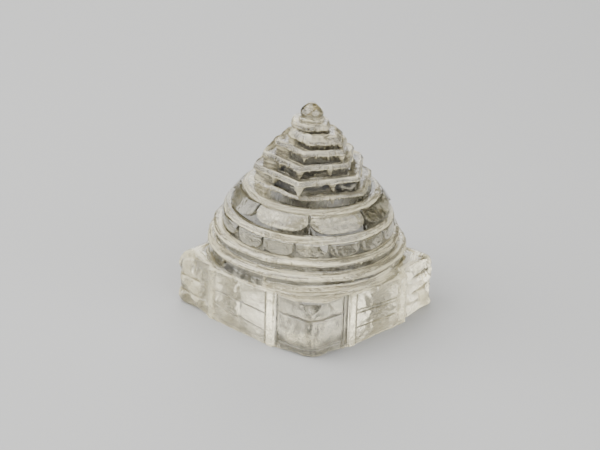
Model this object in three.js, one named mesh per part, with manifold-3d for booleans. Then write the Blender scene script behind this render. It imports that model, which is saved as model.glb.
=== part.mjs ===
// A three-dimensional shri yantra (meru) carved from rock crystal, in millimetres, +Z up.
// The origin is the middle of the flat underside, and the four gates face +X, -X, +Y and -Y.
// The tiers are stacked face to face in the order in which they are carved: the square
// enclosure with its three lines and four gates, two round girdles, a lotus of sixteen and
// a lotus of eight petals, five six-cornered tiers of triangles, the drop's seat and the drop.

import * as THREE from "three";
import { mergeVertices } from "three/addons/utils/BufferGeometryUtils.js";
import Module from "manifold-3d";

const wasm = await Module();
wasm.setup();

// Round girdles: the rim's radius, how far the step at the foot, the waist and the brow lie
// inside it, the height of the wall under the rim and the height of the whole
const LOWER_GIRDLE = { rim: 20.4, step: 0.2, waist: 0.7, slope: 1.3, wall: 2.75, height: 3.7 };
const UPPER_GIRDLE = { rim: 19.1, step: 0.3, waist: 0.5, slope: 1.3, wall: 1.6, height: 2.5 };
const GIRDLE_STEP = 0.9; // height of the step at the foot of a girdle's wall
const RIM_EDGE = 0.25; // height of the upright edge of a rim

// Lotuses: the belly's radius, how far the foot, the rim and the brow lie inside it, the relief
// of the petals, the height of the wall under the rim and the height of the whole
const SIXTEEN_PETALS = {
  belly: 17.5, foot: 0, rim: 0.3, brow: 0.8,
  relief: 0.4, wall: 3.05, height: 4.4,
};
const EIGHT_PETALS = {
  belly: 15.4, foot: -1.1, rim: 1.5, brow: 2.5,
  relief: 0.75, wall: 3.5, height: 4.3,
};
const SIXTEEN_TURN = 0; // radians from +X to the middle of a petal
const EIGHT_TURN = -0.445;
const PETAL_TIP = 0.12; // share of the wall's height at which a petal's round tip lies
const PETAL_SIDE = 0.5; // how much higher its edge lies at its sides
const PETAL_POWER = 3.6; // how square the petal is

// Six-cornered tiers: the radius to the furthest corner, how far the wall, the crest and the
// brow lie inside it, the width of a tooth, the height of the wall, the height of the band over
// it up to the crest, and the height of the whole, at which the next tier stands in the dish
const FOURTEEN_POINTS = {
  corner: 13.7, hollow: 0.8, lean: 0.5, slope: 1.2,
  tooth: 1.6, wall: 1.75, band: 0.55, height: 2.1,
};
const OUTER_TEN_POINTS = {
  corner: 13, hollow: 0.85, lean: 0.35, slope: 2.6,
  tooth: 1.9, wall: 2.35, band: 1.05, height: 2.9,
};
const INNER_TEN_POINTS = {
  corner: 10.8, hollow: 0.65, lean: 0.35, slope: 2.5,
  tooth: 1.6, wall: 1.85, band: 1, height: 2.1,
};
const EIGHT_POINTS = {
  corner: 8.5, hollow: 0.55, lean: 0.45, slope: 2.2,
  tooth: 1.2, wall: 1.95, band: 1.1, height: 2.4,
};
const INNER_TRIANGLE = {
  corner: 6.6, hollow: 0.4, lean: 1.5, slope: 2.3,
  tooth: 0.9, wall: 1.3, band: 1.6, height: 2.7,
};
const DROP_SEAT = {
  corner: 4.5, hollow: 0.3, lean: 0.7, slope: 1.7,
  tooth: 0.7, wall: 0.75, band: 1, height: 1.8,
};
const TIER_TURN = 3.5; // degrees by which the six-cornered tiers are turned against the gates
// The six corners of a tier as shares of the furthest one, anticlockwise from +X: they were
// cut by eye, and the fourth lies the furthest in
const ROUND_SHARES = [1, 0.93, 0.94, 0.93, 0.97, 1];
const WORN_SHARES = [1, 0.91, 0.93, 0.77, 0.93, 1];
const SEAT_SHARES = [1, 0.91, 0.93, 0.78, 0.93, 1];
const CORNER_WEAR = 0.017; // share by which a tier's corners are worn round
const LESSER_TOOTH = 0.8; // size of a tooth at the middle of a side over one at a corner

// Drop
const DROP_RADIUS = 2.35;
const DROP_HALF_HEIGHT = 1.974;
const NECK_RADIUS = 2.5;
const NECK_HEIGHT = 0.7;
const DROP_SINK = 1.15; // how far the ball stands in its neck

// Square enclosure
const GATE_LEDGE = 0.1; // how far the gates stand outside the lower girdle's rim
const GATE_FACE = LOWER_GIRDLE.rim + GATE_LEDGE; // from the axis to a gate's face
const GATE_HALF_WIDTH = 7.9;
const GATE_PROUD = 0.8; // how far a gate stands in front of the corner blocks
const GATE_DEPTH = 6; // how far a gate's blocks run back into the enclosure
const PILASTER_WIDTH = 1.3;
const PILASTER_GROOVE = 0.45; // width of the upright groove beside a pilaster
const GROOVE_DEPTH = 0.6;
const PANEL_ROUND = 0.25; // rounding of a panel's edges, which shows as a fine line
const CORNER_ROUND = 3.3; // radius of a corner block seen from above
const LOBE_ROUND = 1.1; // rounding of a corner block's upper and lower edges
const LOWER_LINE = 3.6; // heights of the three lines
const MIDDLE_LINE = 3.5;
const UPPER_LINE = 4.7;
const SHOULDER_TOP = 24.5; // radius at which a corner block's top breaks off
const SHOULDER_WAIST = 25.6;
const SHOULDER_FOOT = 27; // radius at which its rounding ends
const SHOULDER_BREAK = 1.5; // depths of the waist and the foot under the top
const SHOULDER_FALL = 4.2;

const COLUMNS = 96; // steps round a round tier: a multiple of 8 and 16
const HEXAGON_COLUMNS = 48; // steps round a six-cornered tier: a multiple of 6
const SMALLEST = 0.002; // the smallest detail that is kept
const TURN = 2 * Math.PI;

const crystal = () =>
  new THREE.MeshStandardMaterial({
    color: 0xd9d8d2,
    roughness: 0.12,
    metalness: 0,
    transparent: true,
    opacity: 0.45,
  });

// A closed three.js geometry as a manifold solid.
function solidOf(geometry) {
  const bare = geometry.clone();
  bare.deleteAttribute("normal");
  bare.deleteAttribute("uv");
  const merged = mergeVertices(bare, 1e-4);
  const vertProperties = new Float32Array(merged.attributes.position.array);
  const triVerts = new Uint32Array(merged.index.array);
  return new wasm.Manifold(new wasm.Mesh({ numProp: 3, vertProperties, triVerts }));
}

// A manifold solid as a three.js geometry, with the points that change no face left out.
function geometryOf(solid) {
  const mesh = solid.asOriginal().simplify(SMALLEST).getMesh();
  const points = new Float32Array(mesh.numVert * 3);
  for (let i = 0; i < mesh.numVert; i++) {
    points.set(mesh.vertProperties.subarray(i * mesh.numProp, i * mesh.numProp + 3), i * 3);
  }
  const geometry = new THREE.BufferGeometry();
  geometry.setAttribute("position", new THREE.BufferAttribute(points, 3));
  geometry.setIndex(new THREE.BufferAttribute(mesh.triVerts, 1));
  geometry.computeVertexNormals();
  return geometry;
}

// A closed solid round the Z axis. levels holds the heights, and radiusAt(angle, level index)
// gives the radius in each direction at each of them.
function turnedSolid(levels, radiusAt, columns = COLUMNS) {
  const points = [];
  const faces = [];
  for (const [row, z] of levels.entries()) {
    for (let column = 0; column < columns; column++) {
      const angle = (TURN * column) / columns;
      const radius = radiusAt(angle, row);
      points.push(radius * Math.cos(angle), radius * Math.sin(angle), z);
    }
  }
  const at = (row, column) => row * columns + (column % columns);
  for (let row = 0; row + 1 < levels.length; row++) {
    for (let column = 0; column < columns; column++) {
      faces.push(at(row, column), at(row, column + 1), at(row + 1, column + 1));
      faces.push(at(row, column), at(row + 1, column + 1), at(row + 1, column));
    }
  }
  const under = points.length / 3;
  points.push(0, 0, levels[0]);
  const over = under + 1;
  points.push(0, 0, levels.at(-1));
  for (let column = 0; column < columns; column++) {
    faces.push(under, at(0, column + 1), at(0, column));
    faces.push(over, at(levels.length - 1, column), at(levels.length - 1, column + 1));
  }
  const geometry = new THREE.BufferGeometry();
  geometry.setAttribute("position", new THREE.Float32BufferAttribute(points, 3));
  geometry.setIndex(faces);
  geometry.computeVertexNormals();
  return geometry;
}

// A plain girdle: a step at the foot, a waist that is cut back, and a sloping rim.
function girdle(tier) {
  const step = Math.min(GIRDLE_STEP, tier.wall / 3);
  const levels = [0, step, tier.wall - RIM_EDGE, tier.wall, tier.wall + RIM_EDGE, tier.height];
  const inside = [tier.step, tier.step, tier.waist, 0, 0, tier.slope];
  return geometryOf(solidOf(turnedSolid(levels, (angle, row) => tier.rim - inside[row])));
}

// How much of a petal stands at a share of the wall's height, from 0 between the petals to 1.
function petalAt(angle, share, petals, turn) {
  const turned = ((((angle - turn) * petals) / TURN + 0.5) % 1 + 1) % 1;
  const across = Math.abs(turned * 2 - 1); // 0 at the middle of a petal, 1 between two
  const edge = PETAL_TIP + PETAL_SIDE * across ** PETAL_POWER;
  const inside = THREE.MathUtils.smoothstep(share, edge - 0.1, edge + 0.06);
  const seam = THREE.MathUtils.smoothstep(across, 0.82, 1);
  return inside * (1 - 0.6 * seam);
}

const PETAL_SHARES = [0, 0.1, 0.22, 0.36, 0.55, 0.8, 1]; // levels up the wall

// A lotus: petals with round tips that point down, standing proud of the wall, under a rim.
function lotus(tier, petals, turn) {
  const foot = tier.belly - tier.foot;
  const rim = tier.belly - tier.rim;
  const levels = PETAL_SHARES.map((share) => share * tier.wall);
  const walls = levels.length;
  levels.push(tier.wall + RIM_EDGE, tier.height);
  return turnedSolid(levels, (angle, row) => {
    if (row > walls) return tier.belly - tier.brow;
    if (row >= walls - 1) return rim;
    const share = PETAL_SHARES[row];
    const straight = THREE.MathUtils.lerp(foot, rim, share);
    const bulge = (tier.belly - (foot + rim) / 2) * Math.sin(Math.PI * share);
    const raised = tier.relief * (petalAt(angle, share, petals, turn) - 0.5);
    return straight + bulge + raised;
  });
}

// The distance to a six-cornered outline in one direction, with its corners a little worn.
function hexagon(corner, shares, angle) {
  const sector = TURN / 6;
  const turned = ((angle % TURN) + TURN) % TURN;
  const side = Math.floor(turned / sector + 1e-9) % 6;
  const from = turned - side * sector;
  const start = corner * shares[side];
  const end = corner * shares[(side + 1) % 6];
  const across = start * Math.sin(from) + end * Math.sin(sector - from);
  const sharp = (start * end * Math.sin(sector)) / across;
  const fromMiddle = Math.abs(from / sector - 0.5);
  const near = THREE.MathUtils.smoothstep(fromMiddle, 0.36, 0.5);
  return sharp * (1 - CORNER_WEAR * near);
}

// One tooth: a pyramid with its broad end under the rim and its point at the foot of the wall.
function tooth(size, length, reach, depth, angle) {
  const points = [
    [reach, -size / 2, 0], [reach, size / 2, 0], [reach - 2 * depth, size / 2, 0],
    [reach - 2 * depth, -size / 2, 0], [reach - depth * 0.5, 0, -length], [reach - 2 * depth, 0, -length],
  ];
  const hull = wasm.Manifold.hull(points);
  return hull.rotate([0, 0, THREE.MathUtils.radToDeg(angle)]);
}

const TEETH = 12; // one at each corner and one at the middle of each side

// A six-cornered tier: a steep band over a wall that is cut back between pointed teeth, and
// behind the band's crest a dished top in which the next tier stands.
function triangleTier(tier, shares) {
  const levels = [0, tier.wall - RIM_EDGE / 2, tier.wall, tier.wall + tier.band, tier.height];
  const inside = [tier.hollow, tier.hollow, 0];
  const wall = (angle, row) => {
    if (row < 3) return hexagon(tier.corner, shares, angle) - inside[row];
    return hexagon(tier.corner - (row === 3 ? tier.lean : tier.slope), shares, angle);
  };
  let solid = solidOf(turnedSolid(levels, wall, HEXAGON_COLUMNS));
  for (let i = 0; i < TEETH; i++) {
    const angle = (TURN * i) / TEETH;
    const share = i % 2 === 0 ? 1 : LESSER_TOOTH;
    const reach = hexagon(tier.corner, shares, angle) * 0.995;
    const made = tooth(tier.tooth * share, tier.wall * share, reach, tier.hollow, angle);
    solid = solid.add(made.translate([0, 0, tier.wall]));
  }
  return geometryOf(solid.rotate([0, 0, TIER_TURN]));
}

// A square with round corners, as an outline.
function roundedSquare(half, round) {
  const outline = new THREE.Shape();
  outline.moveTo(half, -half + round);
  outline.lineTo(half, half - round);
  outline.absarc(half - round, half - round, round, 0, Math.PI / 2);
  outline.lineTo(-half + round, half);
  outline.absarc(-half + round, half - round, round, Math.PI / 2, Math.PI);
  outline.lineTo(-half, -half + round);
  outline.absarc(-half + round, -half + round, round, Math.PI, 1.5 * Math.PI);
  outline.lineTo(half - round, -half);
  outline.absarc(half - round, -half + round, round, 1.5 * Math.PI, TURN);
  return outline;
}

// An outline raised to a height, with its upper and lower edges rounded off.
function pillow(outline, height, round, bevelSegments) {
  const geometry = new THREE.ExtrudeGeometry(outline, {
    depth: height - 2 * round,
    bevelThickness: round,
    bevelSize: round,
    bevelOffset: -round,
    bevelSegments,
    curveSegments: 6,
  });
  geometry.translate(0, 0, round);
  return solidOf(geometry);
}

// A block between two corners.
function block(low, high) {
  const size = new THREE.Vector3().subVectors(high, low);
  const geometry = new THREE.BoxGeometry(size.x, size.y, size.z);
  geometry.translate(...low.clone().add(high).multiplyScalar(0.5).toArray());
  return solidOf(geometry);
}

// What one gate adds to a line of the enclosure on the +X side: a panel with fine rounded
// edges, and a pilaster on each side of it that stands the line's whole height.
function gate(height) {
  const back = GATE_FACE - GATE_DEPTH;
  const panelHalf = GATE_HALF_WIDTH - PILASTER_WIDTH - PILASTER_GROOVE;
  const outline = new THREE.Shape([
    new THREE.Vector2(back, -panelHalf),
    new THREE.Vector2(GATE_FACE, -panelHalf),
    new THREE.Vector2(GATE_FACE, panelHalf),
    new THREE.Vector2(back, panelHalf),
  ]);
  let solid = pillow(outline, height, PANEL_ROUND, 1);
  const floor = GATE_FACE - GROOVE_DEPTH; // the bottom of the upright grooves
  const low = new THREE.Vector3(back, -GATE_HALF_WIDTH, 0);
  solid = solid.add(block(low, new THREE.Vector3(floor, GATE_HALF_WIDTH, height)));
  for (const side of [-1, 1]) {
    const from = side * (GATE_HALF_WIDTH - PILASTER_WIDTH);
    const to = side * GATE_HALF_WIDTH;
    const near = new THREE.Vector3(back, Math.min(from, to), 0);
    const far = new THREE.Vector3(GATE_FACE, Math.max(from, to), height);
    solid = solid.add(block(near, far));
  }
  return solid;
}

// One of the three lines of the square enclosure, from z = 0 to its height.
function enclosureLine(height) {
  const half = GATE_FACE - GATE_PROUD;
  let solid = pillow(roundedSquare(half, CORNER_ROUND), height, LOBE_ROUND, 3);
  const core = roundedSquare(half - LOBE_ROUND, CORNER_ROUND - LOBE_ROUND);
  const plain = new THREE.ExtrudeGeometry(core, { depth: height, bevelEnabled: false, curveSegments: 6 });
  solid = solid.add(solidOf(plain));
  for (let quarters = 0; quarters < 4; quarters++) {
    solid = solid.add(gate(height).rotate([0, 0, 90 * quarters]));
  }
  return solid;
}

// The space under the rounded shoulders of the enclosure's top, as a solid of revolution.
function shoulder(height) {
  const profile = [
    new THREE.Vector2(0, 0),
    new THREE.Vector2(SHOULDER_FOOT, 0),
    new THREE.Vector2(SHOULDER_FOOT, height - SHOULDER_FALL),
    new THREE.Vector2(SHOULDER_WAIST, height - SHOULDER_BREAK),
    new THREE.Vector2(SHOULDER_TOP, height),
    new THREE.Vector2(0, height),
  ];
  const geometry = new THREE.LatheGeometry(profile, COLUMNS);
  geometry.rotateX(Math.PI / 2);
  return solidOf(geometry);
}

// The drop: a ball on a short neck.
function drop() {
  const points = [new THREE.Vector2(0, 0), new THREE.Vector2(NECK_RADIUS, 0)];
  points.push(new THREE.Vector2(NECK_RADIUS, NECK_HEIGHT / 2));
  const middle = NECK_HEIGHT - DROP_SINK + DROP_HALF_HEIGHT;
  const from = Math.asin((NECK_HEIGHT - middle) / DROP_HALF_HEIGHT); // where it leaves its neck
  const steps = 9;
  for (let i = 0; i <= steps; i++) {
    const angle = from + ((Math.PI / 2 - from) * i) / steps;
    const radius = i === steps ? 0 : DROP_RADIUS * Math.cos(angle);
    points.push(new THREE.Vector2(radius, middle + DROP_HALF_HEIGHT * Math.sin(angle)));
  }
  const geometry = new THREE.LatheGeometry(points, 24);
  geometry.rotateX(Math.PI / 2);
  return geometryOf(solidOf(geometry));
}

// Each piece is added on top of the last, so that its foot lies on the ledge below it.
const yantra = new THREE.Group();
let ledge = 0;

function stack(name, geometry, height) {
  const mesh = new THREE.Mesh(geometry, crystal());
  mesh.name = name;
  mesh.position.z = ledge;
  yantra.add(mesh);
  ledge += height;
}

const shouldered = enclosureLine(UPPER_LINE).intersect(shoulder(UPPER_LINE));
stack("enclosure_lower_line", geometryOf(enclosureLine(LOWER_LINE)), LOWER_LINE);
stack("enclosure_middle_line", geometryOf(enclosureLine(MIDDLE_LINE)), MIDDLE_LINE);
stack("enclosure_upper_line", geometryOf(shouldered), UPPER_LINE);
stack("lower_girdle", girdle(LOWER_GIRDLE), LOWER_GIRDLE.height);
stack("upper_girdle", girdle(UPPER_GIRDLE), UPPER_GIRDLE.height);
stack("sixteen_petal_lotus", lotus(SIXTEEN_PETALS, 16, SIXTEEN_TURN), SIXTEEN_PETALS.height);
stack("eight_petal_lotus", lotus(EIGHT_PETALS, 8, EIGHT_TURN), EIGHT_PETALS.height);
stack("fourteen_point_tier", triangleTier(FOURTEEN_POINTS, ROUND_SHARES), FOURTEEN_POINTS.height);
stack("outer_ten_point_tier", triangleTier(OUTER_TEN_POINTS, WORN_SHARES), OUTER_TEN_POINTS.height);
stack("inner_ten_point_tier", triangleTier(INNER_TEN_POINTS, WORN_SHARES), INNER_TEN_POINTS.height);
stack("eight_point_tier", triangleTier(EIGHT_POINTS, WORN_SHARES), EIGHT_POINTS.height);
stack("inner_triangle_tier", triangleTier(INNER_TRIANGLE, WORN_SHARES), INNER_TRIANGLE.height);
stack("drop_seat", triangleTier(DROP_SEAT, SEAT_SHARES), DROP_SEAT.height);
stack("drop", drop(), 0);

export default yantra;
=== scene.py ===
"""A carved rock-crystal shri yantra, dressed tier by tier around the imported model.

Every tier is a ring-shaped carving round the upright axis. It is measured along the same
spokes as its neighbours, so that the foot of one tier meets the ledge of the next exactly.
Sizes are in millimetres and angles in degrees, +Z is up, +X and +Y face two neighbouring
gates, and the origin is the middle of the flat underside. Meshes are written in metres.
"""

import logging
import math
from collections.abc import Iterator
from dataclasses import dataclass, field
from enum import Enum
from typing import Any

import bpy
import numpy as np
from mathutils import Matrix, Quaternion, Vector


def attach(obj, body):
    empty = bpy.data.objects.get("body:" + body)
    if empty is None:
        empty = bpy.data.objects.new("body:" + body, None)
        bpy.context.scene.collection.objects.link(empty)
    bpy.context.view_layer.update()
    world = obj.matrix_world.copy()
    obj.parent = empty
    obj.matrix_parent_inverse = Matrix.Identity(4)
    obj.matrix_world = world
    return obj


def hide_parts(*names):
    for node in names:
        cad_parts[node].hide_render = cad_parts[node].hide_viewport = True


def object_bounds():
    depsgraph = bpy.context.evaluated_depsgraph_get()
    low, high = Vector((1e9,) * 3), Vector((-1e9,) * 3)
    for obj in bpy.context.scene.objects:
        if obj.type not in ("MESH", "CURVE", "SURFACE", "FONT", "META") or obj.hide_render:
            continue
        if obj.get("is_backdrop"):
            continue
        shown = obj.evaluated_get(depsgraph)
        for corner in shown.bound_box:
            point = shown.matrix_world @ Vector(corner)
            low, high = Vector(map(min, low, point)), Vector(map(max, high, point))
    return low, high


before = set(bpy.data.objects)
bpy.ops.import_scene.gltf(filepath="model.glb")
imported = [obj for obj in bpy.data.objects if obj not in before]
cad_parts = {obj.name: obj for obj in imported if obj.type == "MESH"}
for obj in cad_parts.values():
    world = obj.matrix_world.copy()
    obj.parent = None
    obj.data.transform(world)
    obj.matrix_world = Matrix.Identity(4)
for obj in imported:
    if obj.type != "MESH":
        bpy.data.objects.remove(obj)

LOG = logging.getLogger("shri_yantra")
MM = 0.001
TURN = 2.0 * math.pi
FROST = "frost"  # the mesh attribute that says how matt a place is
PAINTED_SHADE = "smoke"  # the mesh attribute that says how much painted shade darkens the clear crystal there; below 0 it paints the matt places paler instead, as painted light
QUARTER = TURN / 4.0
FIRST_SEED = 71  # the first tier's unevenness; each tier has its own
SHARP_EDGE = 38.0  # faces that meet at more degrees than this keep a sharp edge

Pair = tuple[float, float]
Triple = tuple[float, float, float]
Profile = tuple[Pair, ...]
Colour = tuple[float, float, float, float]
Line = np.ndarray  # a value along every spoke


class Surface(Enum):
    """The two kinds of face that a tier has, by material index."""

    CARVED = 0
    JOINED = 1


def ease(value: Any, low: Any, high: Any) -> Any:
    """A smooth step for numbers and arrays: 0 up to low, 1 from high on."""
    share = np.clip((value - low) / (high - low), 0.0, 1.0)
    return share * share * (3.0 - 2.0 * share)


def blend(first: Any, second: Any, share: Any) -> Any:
    """What lies a share of the way from the first to the second."""
    return first + (second - first) * share


def peak(away: Any, half: float) -> Any:
    """1 where the distance is 0, falling straight to 0 at half a width."""
    return np.clip(1.0 - np.abs(away) / half, 0.0, 1.0)


def between(value: Any, start: float, end: float, fade: float) -> Any:
    """1 between two ends and 0 outside them, with a smooth change just inside each."""
    return ease(value, start, start + fade) * (1.0 - ease(value, end - fade, end))


def stand(name: str, data: bpy.types.ID) -> bpy.types.Object:
    """Put some data into the scene as a new object.

    Args:
        name: The object's name.
        data: Its mesh, light or camera.

    Returns:
        The object.
    """
    made = bpy.data.objects.new(name, data)
    bpy.context.scene.collection.objects.link(made)
    return made


@dataclass(frozen=True)
class Ring:
    """One closed line round the axis: radius, height, frost and painted shade along every spoke."""

    radius: Line
    height: Line
    frost: Line
    shade: Line | float = 0.0  # painted shade: how much darker than its tier it is painted

    def towards(self, other: "Ring", share: float) -> "Ring":
        """A ring that lies a share of the way to another one."""
        pairs = zip(vars(self).values(), vars(other).values())
        return Ring(*(blend(mine, theirs, share) for mine, theirs in pairs))


class Spokes:
    """The directions in which every tier is measured, spread evenly round the axis."""

    def __init__(self, count: int = 960) -> None:
        """Spread that many spokes."""
        self.angle = np.arange(count) * (TURN / count)
        self.count = count

    def even(self, value: Any) -> Line:
        """The same value along every spoke."""
        return np.zeros(self.count) + value

    def points(self, radius: Any, height: Any) -> np.ndarray:
        """The points at a radius and a height along the spokes, as rows of x, y and z."""
        flat = [radius * np.cos(self.angle), radius * np.sin(self.angle)]
        return np.stack([*flat, self.even(height)], axis=1)

    def fold(self, sectors: int, turn: float = 0.0) -> Line:
        """The radians from the nearest of some even directions, the first turned by some degrees."""
        sector = TURN / sectors
        return (self.angle - math.radians(turn) + sector / 2.0) % sector - sector / 2.0

    def near(self, degrees: float, width: float, fade: float = 4.0) -> Line:
        """1 as far as a width to both sides of one direction, then fading to 0, in degrees."""
        away = np.degrees(np.abs(self.fold(1, degrees)))
        return 1.0 - ease(away, width, width + fade)

    def waver(self, seed: int, slow: int, quick: int) -> Line:
        """An unevenness of hand carving, with a spread of about 1.

        Args:
            seed: Which unevenness.
            slow: The fewest waves in a turn.
            quick: The most waves in a turn.

        Returns:
            The value along each spoke.
        """
        dice = np.random.default_rng(seed)
        waves = np.unique(dice.integers(slow, quick + 1, 24))
        phases = dice.random(len(waves)) * TURN
        total = sum(np.sin(self.angle * wave + phase) for wave, phase in zip(waves, phases))
        return total * math.sqrt(2.0 / len(waves))

    def chips(self, seed: int, bare: float = 1.1) -> Line:
        """Where small chips broke out of an edge, up to 1.5; a higher bare leaves fewer."""
        return np.clip(self.waver(seed, 35, 150) - bare, 0.0, 1.5)


@dataclass(frozen=True)
class Lumps:
    """Seeded unevenness in space: many plane waves in random directions."""

    seed: int
    coarse: float  # the longest wave
    fine: float  # the shortest wave
    upright: float = 1.0  # how much slower it changes upwards; above 1 gives upright streaks
    waves: int = 36
    broken: bool = False  # whether it has flat facets with sharp edges, as where crystal broke

    def at(self, points: np.ndarray) -> np.ndarray:
        """The unevenness at some places, with a spread of about 1.

        Args:
            points: The places, as rows of x, y and z.

        Returns:
            The value at each of them.
        """
        dice = np.random.default_rng(self.seed)
        way = dice.normal(size=(self.waves, 3))
        way /= np.linalg.norm(way, axis=1, keepdims=True)
        length = self.coarse * (self.fine / self.coarse) ** dice.random(self.waves)
        way = way / length[:, None] * TURN
        way[:, 2] /= self.upright
        height = np.sin(points @ way.T + dice.random(self.waves) * TURN)
        if self.broken:
            height = np.arcsin(height) * 0.8
        return height @ (length / length.sum() * math.sqrt(self.waves))


@dataclass(frozen=True)
class Hand:
    """The carver's hand: how far the tiers wander from the true axis, level and surface."""

    aside_to: float = -138.0  # the side to which the tiers wander
    tilt: Profile = (
        (12.5, 0.0), (14.6, 0.03), (24.0, 0.034), (31.2, 0.031), (33.4, 0.05), (35.4, 0.08),
        (37.5, 0.09), (38.7, 0.1), (40.0, 0.04),
    )
    still: float = 0.8  # height over the flat underside below which nothing wanders up or down
    swell: float = 0.05
    swells: Lumps = Lumps(11, 9.0, 2.5)
    grit: float = 0.035
    grits: Lumps = Lumps(12, 2.2, 0.6)
    pits: Lumps = Lumps(13, 2.6, 0.7)
    streaks: float = 0.06
    soft_streaks: Lumps = Lumps(14, 7.0, 1.8, upright=3.0)
    fine_streaks: Lumps = Lumps(15, 1.6, 0.7, upright=5.0)

    def heading(self) -> np.ndarray:
        """The level direction in which the tiers wander, as x and y."""
        way = math.radians(self.aside_to)
        return np.array([math.cos(way), math.sin(way)])

    def cloud(self, points: np.ndarray, frost: np.ndarray) -> np.ndarray:
        """Let the frost vary in soft upright streaks.

        Args:
            points: The points, as rows of x, y and z.
            frost: How matt each of them is.

        Returns:
            The uneven frost.
        """
        middling = 0.25 + 4.0 * np.clip(frost * (1.0 - frost), 0.0, 0.25)
        uneven = 0.6 * self.soft_streaks.at(points) + self.fine_streaks.at(points)
        return np.clip(frost + self.streaks * middling * uneven, 0.0, 1.0)

    def carve(self, points: np.ndarray, frost: np.ndarray) -> np.ndarray:
        """Move points from where they should be to where the hand left them.

        Args:
            points: The points, as rows of x, y and z.
            frost: How matt each of them is; matt places are rougher.

        Returns:
            The moved points.
        """
        radius = np.hypot(points[:, 0], points[:, 1])
        out = points[:, :2] / np.maximum(radius, 0.5)[:, None]
        swell = self.swell * self.swells.at(points)
        grit = self.grit * (0.35 + frost) * self.grits.at(points)
        free = np.clip(points[:, 2] / self.still, 0.0, 1.0)
        moved = points.copy()
        moved[:, :2] += out * ((swell + grit) * np.clip(radius, 0.0, 1.0))[:, None]
        moved[:, 2] += free * frost * self.grit * self.pits.at(points)
        moved[:, 2] += np.interp(points[:, 2], *zip(*self.tilt)) * (points[:, :2] @ self.heading())
        return moved


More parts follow.
